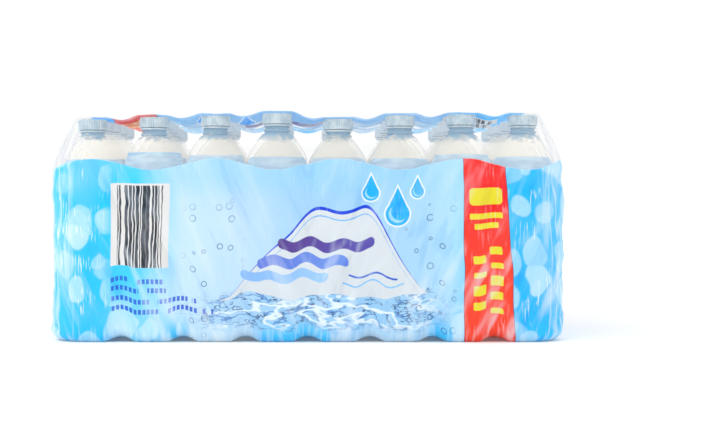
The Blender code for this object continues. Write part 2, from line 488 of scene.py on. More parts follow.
def round_corner(station, x, turn):
    """A point of the wrap beside column x, turned by an angle round the last bottle."""
    kind, place, side, _ = station
    gap = gap_between(x, LAST_X)
    out = SIDE_OUT * cos(turn) ** 2 + END_OUT * sin(turn) ** 2
    edge_height = SIDE_EDGE_HEIGHT * cos(turn) ** 2 + END_EDGE_HEIGHT * sin(turn) ** 2
    way = 1 if x > 0 else -1
    if kind == "under":
        lifted = max(place - LAST_Y * 0.8, 0.0) / (LAST_Y * 0.2 + FOOT_OUT)
        return x + way * FOOT_OUT * turn / (pi / 2), side * place, EDGE_RISE * gap * lifted
    if kind == "top":
        share = max((place - LAST_Y + CAP_OUT) / (2 * CAP_OUT), 0.0)
        reach = turn / (pi / 2) * (1 - share) + sin(turn) * share
        y = min(place, LAST_Y - CAP_OUT) + share * CAP_OUT * (1 + cos(turn))
        return x + way * CAP_OUT * reach, side * y, top_height(x, side * place)
    if kind == "edge":
        foot_out = FOOT_OUT - FOOT_DRAW * gap
        radius = foot_out + (out - foot_out - EDGE_DRAW * gap) * sin(place)
        z = edge_height * (1 - cos(place)) + EDGE_RISE * gap
    elif kind == "wall":
        foot = edge_height + EDGE_RISE * gap
        z = foot + (SHOULDER_Z - foot) * place
        draw = WALL_DRAW + (EDGE_DRAW - WALL_DRAW) * max(1 - z / LOW_WALL_Z, 0.0)
        radius = out - draw * gap
    else:
        top_z = top_height(x, side * (LAST_Y + CAP_OUT))
        z = SHOULDER_Z + (top_z - SHOULDER_Z) * place
        radius = out_at(z, top_z, out, edge_height)
        radius -= (WALL_DRAW * (1 - place) + (SLOPE_DRAW - 0.001) * sin(pi * place)) * gap
    return x + way * radius * sin(turn), side * (LAST_Y + radius * cos(turn)), z


def read_shares(shares, step):
    """One of the three runs of shares, read between its steps."""
    place = min(step * 3, 2.999)
    low = int(place)
    return blend(shares[low:low + 2], place - low)


def end_point(corner, end, step):
    """A point of the wrap on its way from the end's edge in to the oval opening."""
    _, y, z = corner
    top_z = max(z, SHOULDER_Z + 0.05)
    at_top = min(max((z - SHOULDER_Z) / (top_z - SHOULDER_Z), 0.0), 1.0)
    at_foot = min(max(1 - z / LOW_WALL_Z, 0.0), 1.0)
    share = at_top * read_shares(TOP_SHARES, step) + at_foot * read_shares(FOOT_SHARES, step)
    share += (1 - at_top - at_foot) * read_shares(SIDE_SHARES, step)
    reach = hypot(y / OPENING_HALF_WIDTH, (z - OPENING_Z) / OPENING_HALF_HEIGHT)
    new_y = y + (y / reach - y) * share
    new_z = z + (OPENING_Z + (z - OPENING_Z) / reach - z) * share
    out = out_at(new_z, top_z, END_OUT, END_EDGE_HEIGHT)
    out -= SLOPE_DRAW * gap_between(y, LAST_Y) * at_top * (1 - share)
    out -= END_DRAW * gap_between(new_y, LAST_Y) * (1 - at_top - at_foot)
    return end * (LAST_X + out), new_y, new_z


def wrinkle(point, u, v, depth):
    """How far the film stands out in small creases at a point."""
    x, y, z = point
    at_end = min(max((abs(x) - 0.17) / 0.07, 0.0), 1.0)
    on_wall = min(max(1 - abs(z - 0.09) / 0.1, 0.0), 1.0)
    fine = noise.noise(Vector((u * 150, v * 14, 3.0)))
    wide = noise.noise(Vector((u * 42, v * 9, 9.0)))
    rise = (0.35 * fine + 0.65 * wide) * (0.25 + 0.75 * at_end) * on_wall
    if abs(x) > LAST_X + SIDE_OUT - 0.004:
        angle = Vector((y, z - OPENING_Z)).angle_signed(Vector((0, 1)), 0.0)
        near = min(hypot(y, z - OPENING_Z) / 0.05, 1.0)
        star = noise.noise(Vector((cos(angle) * 5.5, sin(angle) * 5.5, 4.0 + (x > 0) * 7)))
        fan = noise.noise(Vector((cos(angle) * 13, sin(angle) * 13, 8.0 + (x > 0) * 7)))
        rise += (1.6 * star + 0.8 * fan) * near
    corner = exp(-(((abs(x) - 0.235) / 0.03) ** 2) - ((z - 0.02) / 0.03) ** 2)
    slant = abs(x) - 0.20 + z * 0.8
    rise += corner * noise.noise(Vector((slant * 190, (abs(x) - z) * 26, 1.0 + (x > 0))))
    if z > 0.19:
        rise += 0.6 * noise.noise(Vector((x * 70, y * 70, 5.0)))
    return depth * rise


def wrap_grid():
    """The wrap's points and sleeve coordinates, loop by loop from the left end to the right."""
    stations = girth_stations()
    loops = []
    for step in range(STRAIGHT_STEPS + 1):
        x = -LAST_X + 2 * LAST_X * step / STRAIGHT_STEPS
        loops.append([(round_corner(s, x, 0.0), x, s[3]) for s in stations])
    for end in (-1, 1):
        added = []
        for step in range(1, CORNER_STEPS + 1):
            turn = pi / 2 * step / CORNER_STEPS
            u = end * (LAST_X + (SIDE_OUT + END_OUT) / 2 * turn)
            added.append([(round_corner(s, end * LAST_X, turn), u, s[3]) for s in stations])
        edge = added[-1]
        for step in range(1, INWARD_STEPS + 1):
            share = step / INWARD_STEPS
            u_add = end * END_FILM * share
            added.append([(end_point(p, end, share), u + u_add, v) for p, u, v in edge])
        loops = added[::-1] + loops if end < 0 else loops + added
    return loops


def set_points(mesh, loops, depth):
    """Moves a flat grid's points to the wrap's form, and writes its sleeve coordinates."""
    around = len(loops[0])
    order = sorted(
        range(len(mesh.vertices)),
        key=lambda i: (round(mesh.vertices[i].co.x, 4), round(mesh.vertices[i].co.y, 4)),
    )
    sleeve = {}
    centre = Vector((0.0, 0.0, OPENING_Z))
    for place, index in enumerate(order):
        point, u, v = loops[place // around][place % around]
        x, y, z = point
        axis = Vector((min(max(x, -LAST_X), LAST_X), min(max(y, -LAST_Y), LAST_Y), z))
        outward = Vector(point) - axis
        if z > SHOULDER_Z:
            outward += Vector((0.0, 0.0, z - SHOULDER_Z))
        if outward.length < 1e-6:
            outward = Vector(point) - centre
        stand = wrinkle(point, u, v, depth) if z > 0.0005 else 0.0
        mesh.vertices[index].co = Vector(point) + outward.normalized() * stand
        sleeve[index] = (u, v)
    layer = mesh.uv_layers.active
    layer.name = "Sleeve"
    for loop in mesh.loops:
        layer.data[loop.index].uv = sleeve[loop.vertex_index]


# The printed design, in metres of film: p runs along the case and q up it


def disc(g, x, y, middle, radius):
    """The distance from a round spot."""
    return g.less(g.length(g.at(g.less(x, middle[0]), g.less(y, middle[1]))), radius)


def cells(g, x, width):
    """A random number for each stretch of x."""
    place = g.at(g.calc("FLOOR", g.calc("DIVIDE", x, width)), 0.0)
    return g.node("TexWhiteNoise", {"Vector": place}, noise_dimensions="2D").outputs["Value"]


def wave(g, x, length, height, shift=0.0):
    """A sine wave along x."""
    turn = g.calc("MULTIPLY_ADD", x, 2 * pi / length, shift)
    return g.times(g.calc("SINE", turn), height)


def dot_field(g, u, v, scale, seed, least, most):
    """Round dots of various sizes, scattered over the film: a mask, and a number for each dot."""
    dots = g.node(
        "TexVoronoi",
        {"Vector": g.at(g.add(u, seed), g.add(v, seed * 0.7)), "Scale": scale, "Randomness": 0.75},
        voronoi_dimensions="2D",
    )
    own = g.node("SeparateColor", {"Color": dots.outputs["Color"]}).outputs
    radius = g.calc("MULTIPLY_ADD", own[0], most - least, least)
    return g.inside(g.less(dots.outputs["Distance"], radius), 0.035), own[1]


def fold_noise(g, u, v):
    """Long slanting folds in the film."""
    slant = g.calc("MULTIPLY_ADD", v, -0.42, g.absolute(u))
    return g.noise(g.at(slant, g.times(g.add(v, u), 0.22), 2.0), 52.0, 2.0, 0.55)


def print_group():
    """The printed design, with painted light of the film's folds laid over it: its colour, and where the
    film is printed at all.
    """
    tree, g, given, result = new_group(
        "Case Print",
        [("U", "Float"), ("V", "Float")],
        [("Colour", "Color"), ("Ink", "Float")],
    )
    u, v = given["U"], given["V"]
    past_front = g.calc("GREATER_THAN", v, FIRST_CAPS)
    on_back = g.calc("GREATER_THAN", v, LAST_CAPS)
    on_top = g.less(past_front, on_back)
    flip = g.calc("MULTIPLY_ADD", past_front, -2.0, 1.0)
    q = g.between(on_top, v, g.less(LAST_CAPS - TOP_PRINT_SETBACK, v))
    q = g.between(on_back, q, g.less(BACK_FOOT, v))
    p = g.add(g.times(u, flip), g.drift(g.at(u, v), 9.0, 0.006))
    colour = ground_print(g, u, v, p, q)
    colour = dots_print(g, u, v, p, q, colour)
    colour = swell_print(g, p, q, colour)
    colour = bars_print(g, p, q, colour)
    colour = band_print(g, p, q, colour)
    g.put(painted_fold_light(g, u, v, q, colour), result["Colour"])
    g.put(ink_mask(g, u, v, q, on_top), result["Ink"])
    return tree


def ink_mask(g, u, v, q, on_top):
    """Where the film is printed: below a wavy edge, and on the top between its clear ends."""
    edge = g.add(wave(g, g.add(u, LAST_X), 2 * PITCH, 0.0056, pi / 2), PRINT_EDGE)
    edge = g.add(edge, g.drift(g.at(u, 0.7), 30.0, 0.005))
    walls = g.inside(g.less(q, edge), 0.0004)
    ends = g.add(TOP_PRINT_END, g.drift(g.at(0.2, v), 22.0, 0.03))
    return g.between(on_top, walls, g.inside(g.less(g.absolute(u), ends)))


def ground_print(g, u, v, p, q):
    """The ground colour: cyan at the sides, and paler towards the middle."""
    colour = g.ramp(
        g.calc("MULTIPLY_ADD", p, 1 / PRINT_LENGTH, 0.5),
        [
            (0.0, paint(60, 200, 249)),
            (0.10, paint(24, 190, 249)),
            (0.19, paint(52, 202, 250)),
            (0.27, paint(192, 223, 243)),
            (0.38, paint(182, 215, 240)),
            (0.52, paint(154, 201, 237)),
            (0.66, paint(162, 206, 238)),
            (0.76, paint(172, 217, 243)),
            (0.81, paint(84, 202, 249)),
            (0.88, paint(16, 180, 246)),
            (1.0, paint(48, 188, 247)),
        ],
    )
    # Pale cloudy patches, stretched upright: partly print, partly painted sheen on the film
    cloud = g.noise(g.at(u, g.times(v, 0.6)), 14.0, 2.0)
    colour = g.mix(g.ease(cloud, 0.45, 0.8, 0.0, 0.32), colour, paint(212, 234, 246))
    patches = g.ease(g.noise(g.at(u, 0.3), 16.0, 1.0), 0.46, 0.52)
    foot = g.times(g.ease(q, 0.026, 0.004), patches)
    colour = g.cover(colour, paint(20, 190, 250), foot, 0.9)
    high = g.times(g.ease(q, 0.135, 0.165), g.ease(g.absolute(p), 0.17, 0.12))
    return g.cover(colour, paint(140, 204, 246), high, 0.55)


def dots_print(g, u, v, p, q, colour):
    """Two layers of pale dots, at both sides and along the foot."""
    far = g.absolute(p)
    foot = g.times(g.ease(q, 0.042, 0.030), g.ease(far, 0.115, 0.13))
    zone = g.most(g.ease(far, 0.188, 0.205), foot)
    shift = g.drift(g.at(u, v, 4.0), 26.0, 0.022)
    across, along = g.add(u, shift), g.times(g.less(v, shift), 0.80)
    for scale, seed, least, most, share, tint in (
        (29.0, 0.31, 0.20, 0.44, 0.42, paint(200, 234, 252)),
        (21.0, 1.73, 0.14, 0.38, 0.30, paint(188, 226, 251)),
    ):
        dots, own = dot_field(g, across, along, scale, seed, least, most)
        strength = g.calc("MULTIPLY_ADD", own, 0.25, share)
        colour = g.cover(colour, tint, g.times(dots, zone), strength)
    return colour


def painted_fold_light(g, u, v, q, colour):
    """Painted light on the print: the pale sheen and glints, and the dark shade, of the film's folds and
    crumples.
    """
    wide_u = g.absolute(u)
    fold = fold_noise(g, u, v)
    # Painted sheen along the folds, and painted shade in them
    sheen = g.ease(q, 0.150, 0.030, 0.20, 0.50)
    colour = g.cover(colour, paint(226, 238, 246), g.ease(fold, 0.50, 0.72), sheen)
    deep = g.mix(0.75, colour, colour, "MULTIPLY")
    colour = g.mix(g.times(g.ease(fold, 0.46, 0.30), 0.45), colour, deep)
    # Painted glints in fine upright streaks, crowded towards the ends
    crowd = g.ease(g.noise(g.at(u, v, 7.0), 30.0, 1.0), 0.46, 0.60)
    crowd = g.times(g.ease(wide_u, 0.170, 0.235, 0.10, 0.75), crowd)
    streak_glint = g.noise(g.at(u, g.times(v, 0.09)), 480.0, 2.0, 0.6)
    colour = g.cover(colour, paint(240, 249, 254), g.ease(streak_glint, 0.54, 0.66), crowd)
    # Painted glints of crumples at the ends and along the foot
    crumple_glint = g.noise(g.at(u, g.times(v, 0.11), 9.0), 80.0, 1.0)
    crumple_glint = g.ease(g.absolute(g.less(crumple_glint, 0.5)), 0.055, 0.0)
    edges = g.most(g.ease(wide_u, 0.222, 0.246), g.times(g.ease(q, 0.020, 0.006), 0.55))
    return g.cover(colour, paint(238, 246, 250), crumple_glint, g.times(edges, 0.42))


def swell_print(g, p, q, colour):
    """A white swell over rippled water, with stripes in it, drops over it and bubbles beside it."""
    hump = g.less(g.ease(p, -0.105, 0.020), g.times(g.ease(p, 0.055, 0.128), 0.96))
    swell = g.add(g.calc("MULTIPLY_ADD", hump, 0.096, 0.034), wave(g, p, 0.052, 0.0028, 0.6))
    base = g.add(wave(g, p, 0.075, 0.0035, -0.6), 0.044)
    aside = g.absolute(g.less(p, SWELL_MIDDLE))
    colour = ripples_print(g, p, q, base, aside, colour)
    colour = bubbles_print(g, p, q, aside, colour)

    # The field, with a deep-blue crest line that swells in its middle
    over = g.less(q, swell)
    colour = g.stamp(colour, g.most(over, g.less(base, q)), paint(212, 219, 224))
    thick = g.calc("MULTIPLY_ADD", hump, 0.0019, -0.0002)
    colour = g.stamp(colour, g.less(g.absolute(over), thick), paint(14, 62, 214), 0.0004)
    inner_line = g.less(g.absolute(g.add(over, 0.0075)), g.times(hump, 0.0006))
    colour = g.stamp(colour, inner_line, paint(96, 176, 236), 0.0004)

    # Its wavy stripes
    for height, start, end, half, first, last, shift in (
        (0.0950, -0.030, 0.066, 0.0052, paint(84, 52, 140), paint(86, 74, 168), 0.9),
        (0.0790, -0.050, 0.040, 0.0052, paint(92, 118, 214), paint(104, 142, 226), 2.0),
        (0.0640, -0.066, 0.020, 0.0046, paint(132, 180, 238), paint(150, 196, 242), 3.1),
        (0.0640, 0.040, 0.088, 0.0010, paint(36, 96, 208), paint(30, 84, 200), 0.4),
        (0.0560, 0.034, 0.094, 0.0008, paint(112, 186, 240), paint(128, 194, 240), 1.4),
    ):
        lifted = g.less(q, wave(g, p, 0.032, 0.0022, shift))
        place = ((start + end) / 2, height)
        shape = g.block(p, lifted, place, ((end - start) / 2, half), min(half * 0.98, 0.0045))
        colour = g.stamp(colour, shape, g.mix(g.ease(p, start, end), first, last), 0.0004)
    return drops_print(g, p, q, colour)


def ripples_print(g, p, q, base, aside, colour):
    """Rippled water under the swell, with its bright and dark strands."""
    surface = g.add(base, g.drift(g.at(p, q), 20.0, 0.05, 2.0))
    near = g.times(g.ease(g.less(surface, q), -0.010, 0.004), g.ease(aside, 0.135, 0.085))
    near = g.times(near, g.ease(q, 0.006, 0.020))
    colour = g.cover(colour, paint(126, 190, 236), near, 0.35)
    stretched = g.at(g.times(p, 0.62), g.times(q, 1.5))
    for scale, width, tint, share in (
        (30.0, 0.020, paint(70, 128, 196), 0.8),
        (52.0, 0.016, paint(36, 66, 120), 0.85),
        (24.0, 0.030, paint(232, 244, 253), 0.9),
    ):
        strand = g.absolute(g.less(g.noise(stretched, scale, 3.0, 0.6), 0.5))
        strand = g.ease(strand, width, width * 0.3)
        colour = g.cover(colour, tint, g.times(strand, near), share)
    return colour


def bubbles_print(g, p, q, aside, colour):
    """Rings of bubbles that rise on both sides of the swell."""
    rings = g.node(
        "TexVoronoi", {"Vector": g.at(p, q), "Scale": 82.0}, voronoi_dimensions="2D"
    ).outputs
    own = g.node("SeparateColor", {"Color": rings["Color"]}).outputs
    size = g.calc("MULTIPLY_ADD", own[1], 0.18, 0.08)
    rim = g.inside(g.less(g.absolute(g.less(rings["Distance"], size)), 0.035), 0.04)
    side = g.times(g.ease(aside, 0.070, 0.092), g.ease(aside, 0.145, 0.118))
    some = g.times(g.times(g.ease(own[0], 0.60, 0.66), side), g.ease(q, 0.155, 0.120))
    return g.cover(colour, paint(40, 84, 146), g.times(rim, some), 0.8)


def drops_print(g, p, q, colour):
    """Three drops over the swell, each with a pale edge and a glint."""
    for x, height, radius in ((0.088, 0.126, 0.0115), (0.062, 0.146, 0.0080), (0.107, 0.148, 0.0062)):
        ball = disc(g, p, q, (x, height), radius)
        tip = g.less(g.absolute(g.less(p, x)), g.times(g.less(height + 2.3 * radius, q), 0.46))
        drop = g.least(ball, g.most(tip, g.less(height + 0.38 * radius, q)))
        colour = g.stamp(colour, g.less(drop, 0.0014), paint(236, 242, 246))
        colour = g.stamp(colour, drop, paint(28, 174, 246))
        inner = disc(g, p, q, (x, height), radius * 0.74)
        cut = disc(g, p, q, (x + 0.2 * radius, height + 0.2 * radius), radius * 0.74)
        glint = g.inside(g.most(inner, g.less(0.0, cut)))
        colour = g.cover(colour, paint(170, 226, 252), glint, 0.8)
    return colour


def bars_print(g, p, q, colour):
    """A plain panel of upright bars, and lines of dashes under it."""
    field = g.block(p, q, (PANEL_MIDDLE, 0.1145), (0.0285, 0.0415))
    colour = g.stamp(colour, field, paint(224, 222, 220), 0.0004)
    sway = g.noise(g.at(p, g.times(q, 0.42)), 90.0, 2.0)
    swayed = g.add(p, g.times(g.less(sway, 0.5), 0.0055))
    bar = g.ease(cells(g, swayed, BAR_WIDTH), 0.38, 0.40)
    panel = g.inside(g.block(p, q, (PANEL_MIDDLE, 0.1135), (0.0222, 0.0405), 0.0003), 0.0003)
    shade = g.mix(g.ease(sway, 0.3, 0.7), paint(26, 28, 34), paint(92, 96, 104))
    colour = g.cover(colour, shade, panel, bar)
    for height, end in ((0.0595, -0.141), (0.0500, -0.139), (0.0400, -0.106), (0.0300, -0.092)):
        bent = g.less(q, g.drift(g.at(p, height), 34.0, 0.005))
        line = ((end + LINE_START) / 2, height), ((end - LINE_START) / 2, 0.0024)
        row = g.inside(g.block(p, bent, *line, 0.0004), 0.0003)
        place = g.calc("FRACT", g.calc("DIVIDE", p, DASH_LENGTH))
        dash = g.inside(g.less(g.absolute(g.less(place, 0.5)), 0.34), 0.06)
        there = g.ease(cells(g, g.add(p, height), DASH_LENGTH), 0.14, 0.16)
        colour = g.cover(colour, paint(24, 84, 208), g.times(row, dash), g.times(there, 0.9))
    return colour


def band_print(g, p, q, colour):
    """A red band with dark edges and plain yellow blocks in it."""
    bend = g.drift(g.at(0.4, q), 22.0, 0.003)
    x = g.less(g.less(p, g.times(q, -0.038)), bend)
    half_width = g.calc("MULTIPLY_ADD", q, -0.022, 0.0247)
    band = g.less(g.absolute(g.less(x, BAND_MIDDLE)), half_width)
    shade = g.mix(g.ease(q, 0.02, 0.17), paint(244, 60, 22), paint(238, 26, 10))
    colour = g.stamp(colour, g.less(band, 0.0006), paint(120, 40, 60), 0.0003)
    colour = g.stamp(colour, band, shade, 0.0003)
    blocks = g.block(x, q, (BAND_MIDDLE, 0.1430), (0.0165, 0.0085), 0.0040)
    for height, half in ((0.1235, 0.0165), (0.1135, 0.0120)):
        blocks = g.least(blocks, g.block(x, q, (BAND_MIDDLE, height), (half, 0.0028), 0.0010))
    for middle, count, lowest in ((0.1880, 5, 0.0270), (0.1712, 4, 0.0350)):
        for step in range(count):
            half = (0.0062, 0.0050 - 0.0011 * ((step * 2 + count) % 3))
            block = g.block(x, q, (middle, lowest + step * 0.0152), half, 0.0014)
            blocks = g.least(blocks, block)
    return g.stamp(colour, blocks, paint(230, 216, 34), 0.0004)


def crease_group():
    """The fine creases of shrunk film, as a height from its sleeve coordinates."""
    tree, g, given, result = new_group(
        "Film Creases", [("U", "Float"), ("V", "Float")], [("Height", "Float")]
    )
    u, v = given["U"], given["V"]
    end = g.ease(g.absolute(u), 0.16, 0.25, 0.35, 1.0)
    upright = g.noise(g.at(u, g.times(v, 0.07)), 420.0, 2.0, 0.6)
    wide = g.noise(g.at(u, g.times(v, 0.16)), 120.0, 2.0, 0.6)
    height = g.times(g.add(g.times(upright, 0.35), g.times(wide, 0.65)), end)
    g.put(g.add(height, g.times(fold_noise(g, u, v), 1.4)), result["Height"])
    return tree


# Materials


def wrap_material(settings):
    """Clear film, printed on most of its length."""
    material, g, shader = new_material("Printed_Wrap")
    place = g.parts(g.node("UVMap", uv_map="Sleeve").outputs[0])
    where = {"U": place["X"], "V": place["Y"]}
    design = g.group(print_group(), where)
    creases = g.group(crease_group(), where)["Height"]
    facing = g.facing(0.30)
    behind = g.node("NewGeometry").outputs["Backfacing"]
    clear = g.ease(facing, 0.35, 1.0, settings.clear_density, 0.45)
    solid = g.ease(facing, 0.2, 1.0, settings.print_density, 1.0)
    dense = g.between(design["Ink"], clear, solid)

    # The far part of the top is faint where it is seen from below
    far_top = g.times(
        g.ease(place["Y"], FIRST_CAPS + 0.07, FIRST_CAPS + 0.15),
        g.ease(place["Y"], LAST_CAPS + 0.025, LAST_CAPS + 0.015),
    )
    dense = g.times(dense, g.between(g.times(behind, far_top), 1.0, 0.2))
    for_light = g.ease(place["Y"], 0.110, 0.040, 0.45, 1.0)
    colour = g.mix(design["Ink"], paint(240, 243, 244), design["Colour"])
    # Painted light: the film glows in its own colour, faintly on its face and more on its back, for
    # light that comes through the print
    deep = g.mix(g.times(behind, 0.8), colour, colour, "MULTIPLY")
    through = g.between(behind, settings.glow, g.times(design["Ink"], 0.36))
    g.fill(shader, {
        "Alpha": g.times(dense, g.between(g.seen(), for_light, 1.0)),
        "Base Color": colour,
        "Emission Color": g.mix(through, BLACK, deep),
        "Emission Strength": 1.0,
        "Roughness": g.ease(creases, 0.2, 0.9, 0.14, 0.30),
        "Normal": g.bump(creases, 0.8, 0.0018),
        "IOR": 1.5,
        "Specular IOR Level": 0.22,
        "Coat Weight": 0.12,
        "Coat Roughness": 0.16,
    })
    return material


def bottle_material(settings):
    """Thin clear plastic that gathers light, painted as its own glow, denser at its edges and at the
    neck.
    """
    material, g, shader = new_material("Clear_Bottle")
    local = g.local()
    place = g.parts(local)
    rim = g.ease(g.facing(0.32), 0.56, 0.92)
    neck = g.ease(g.add(place["Z"], g.drift(local, 130.0, 0.022, 3.0, 0.6)), 0.199, 0.205)
    # Painted light: the necks in the rows behind lose most of their tint and density, so they read paler
    neck = g.times(neck, g.ease(place["Y"], -0.104, -0.088, 1.0, 0.10))
    ripple = g.noise(local, 60.0, 2.0)
    dense = g.add(g.between(rim, settings.wall_density, 0.85), g.times(neck, 0.50))
    dense = g.add(dense, g.times(g.ease(ripple, 0.5, 0.7), 0.05))
    colour = g.mix(neck, paint(238, 230, 213), paint(136, 170, 192))
    # Painted shade darkens the wall's edges
    colour = g.cover(colour, paint(84, 98, 110), rim, 0.9)
    # Painted light: the wall glows in its own colour, less at its edges and neck
    own_light = g.between(g.most(rim, neck), 0.32, 0.10)
    g.fill(shader, {
        "Alpha": g.times(g.least(dense, 0.92), g.between(g.seen(), 0.25, 1.0)),
        "Base Color": colour,
        "Emission Color": g.mix(own_light, BLACK, colour),
        "Emission Strength": settings.gathered_light,
        "Roughness": g.ease(ripple, 0.3, 0.7, 0.05, 0.12),
        "Normal": g.bump(g.noise(local, 95.0, 2.0), 0.25, 0.001),
        "IOR": 1.5,
        "Specular IOR Level": 0.4,
    })
    return material


def water_material(settings):
    """Clear water, a little blue where it is deep, with darker streaks; its edges are painted darker,
    and it glows with painted light.
    """
    material, g, shader = new_material("Water")
    place = g.parts(g.local())
    facing = g.facing(0.4)
    shade = g.noise(g.at(place["X"], place["Y"], g.times(place["Z"], 3.5)), 70.0, 1.0)
    colour = g.mix(g.ease(shade, 0.35, 0.70), settings.water_colour, paint(160, 200, 224))
    # Painted shade darkens the water's edges
    colour = g.mix(g.ease(facing, 0.6, 1.0), colour, paint(104, 146, 178))
    dense = g.ease(facing, 0.2, 1.0, settings.water_density, 0.9)
    g.fill(shader, {
        "Alpha": g.times(dense, g.between(g.seen(), 0.3, 1.0)),
        "Base Color": colour,
        # Painted light: the water glows in its own colour
        "Emission Color": g.mix(0.3, BLACK, colour),
        "Emission Strength": settings.gathered_light,
        "Roughness": g.ease(shade, 0.3, 0.7, 0.03, 0.06),
        "IOR": 1.33,
    })
    return material


def cap_material(settings):
    """Pale, slightly see-through moulded plastic, painted paler and glowing a little in the rows behind,
    as painted light.
    """
    material, g, shader = new_material("Pale_Cap")
    local = g.local()
    cloud = g.noise(local, 140.0, 3.0)
    grain = g.noise(local, 2600.0, 2.0)
    # Painted light: the caps behind the front row are paler and glow a little
    inner = g.ease(g.parts(local)["Y"], -0.104, -0.090)
    colour = g.mix(g.ease(cloud, 0.35, 0.65), settings.cap_colour, paint(202, 214, 220))
    colour = g.mix(inner, colour, paint(212, 221, 226))
    g.fill(shader, {
        "Base Color": colour,
        "Emission Color": g.mix(inner, BLACK, colour),
        "Emission Strength": 0.12,
        "Roughness": g.ease(grain, 0.3, 0.7, 0.28, 0.42),
        "Normal": g.bump(grain, 0.06, 0.0004),
        "Subsurface Weight": 0.25,
        "Subsurface Radius": (0.006, 0.007, 0.008),
    })
    return material


def label_material():
    """A thin printed label: white, with a plain blue field and line."""
    material, g, shader = new_material("Bottle_Label")
    local = g.local()
    height = g.add(g.parts(local)["Z"], g.drift(local, 30.0, 0.016))
    colour = g.mix(g.ease(height, 0.128, 0.132), paint(232, 240, 246), paint(70, 168, 232))
    colour = g.stamp(colour, g.band(height, 0.125, 0.0012), paint(20, 70, 200))
    gloss = g.noise(local, 300.0, 2.0)
    g.fill(shader, {"Base Color": colour, "Roughness": g.ease(gloss, 0.3, 0.7, 0.2, 0.34)})
    return material


def floor_material():
    """A plain pale studio floor that glows, with painted shade round the case, darkest where it stands
    on the floor.
    """
    material, g, shader = new_material("Studio_Floor")
    local = g.local()
    place = g.parts(local)
    cloud = g.noise(local, 3.0, 3.0)
    foot = (LAST_X + FOOT_OUT, LAST_Y + FOOT_OUT)
    away = g.block(place["X"], place["Y"], (0.0, 0.0), foot, FOOT_OUT)
    # Painted shadow: the glow falls within 20 mm of the case's foot, is weaker within 0.3 m of it, and
    # is full only by 2.5 m
    glow = g.times(g.ease(away, 0.001, 0.020, 0.28, 1.0), g.ease(away, 0.3, 2.5, 0.62, 1.0))
    g.fill(shader, {
        "Base Color": g.mix(cloud, (0.80, 0.80, 0.80, 1.0), (0.82, 0.82, 0.82, 1.0)),
        "Roughness": g.ease(cloud, 0.3, 0.7, 0.55, 0.65),
        "Specular IOR Level": 0.2,
        "Emission Color": g.mix(glow, BLACK, WHITE),
        "Emission Strength": 0.47,
    })
    return material


# Sizes and colours that a user may change


class BottleSettings(bpy.types.PropertyGroup):
    """The bottles, their water, caps and labels."""

    sides: bpy.props.IntProperty(
        name="Sides", description="Sides of each round bottle", default=40, min=16, max=64
    )
    cap_ribs: bpy.props.IntProperty(
        name="Cap Ribs", description="Grip ribs round each cap", default=36, min=24, max=72
    )
    gathered_light: bpy.props.FloatProperty(
        name="Gathered Light", description="Light that clear plastic and water pass on",
        default=0.8, min=0.0, max=2.0,
    )
    wall_density: bpy.props.FloatProperty(
        name="Wall Density", description="How much of the light a bottle's wall keeps",
        default=0.20, min=0.0, max=1.0, subtype="FACTOR",
    )
    water_density: bpy.props.FloatProperty(
        name="Water Density", description="How much of the light the water keeps",
        default=0.55, min=0.0, max=1.0, subtype="FACTOR",
    )
    water_colour: bpy.props.FloatVectorProperty(
        name="Water Colour", description="Tint of the deep water", subtype="COLOR", size=4,
        default=paint(122, 170, 204), min=0.0, max=1.0,
    )
    cap_colour: bpy.props.FloatVectorProperty(
        name="Cap Colour", description="Colour of the caps", subtype="COLOR", size=4,
        default=paint(172, 194, 206), min=0.0, max=1.0,
    )
    water_level: bpy.props.FloatProperty(
        name="Water Level", description="Height of the water above a bottle's foot",
        default=0.1785, min=0.15, max=0.19, unit="LENGTH",
    )


class WrapSettings(bpy.types.PropertyGroup):
    """The shrunk film round the case."""

    crease_depth: bpy.props.FloatProperty(
        name="Crease Depth", description="How far the film's creases stand out", default=0.0015,
        min=0.0, max=0.004, unit="LENGTH",
    )
    clear_density: bpy.props.FloatProperty(
        name="Clear Density", description="How much of the light the clear film keeps", default=0.06,
        min=0.0, max=1.0, subtype="FACTOR",
    )
    print_density: bpy.props.FloatProperty(
        name="Print Density", description="How much of the light the printed film keeps",
        default=0.95, min=0.0, max=1.0, subtype="FACTOR",
    )
    glow: bpy.props.FloatProperty(
        name="Light Through Print", description="Light that comes through the printed film",
        default=0.03, min=0.0, max=1.0,
    )


class StudioSettings(bpy.types.PropertyGroup):
    """The floor, lights and camera."""

    surround: bpy.props.FloatProperty(
        name="Surround", description="Brightness of the white studio", default=0.84, min=0.0, max=4.0
    )
    front_shade: bpy.props.FloatProperty(
        name="Front Shade", description="Brightness of the studio behind the camera",
        default=0.45, min=0.0, max=1.0, subtype="FACTOR",
    )
    key_power: bpy.props.FloatProperty(
        name="Key Light", description="Power of the large light", default=13.5, min=0.0, unit="POWER"
    )
    strip_power: bpy.props.FloatProperty(
        name="Strip Lights", description="Power of each of the side strips", default=5.0, min=0.0,
        unit="POWER",
    )
    distance: bpy.props.FloatProperty(
        name="Camera Distance", description="Camera to the middle of the case", default=1.725,
        min=0.5, unit="LENGTH",
    )


# Operators


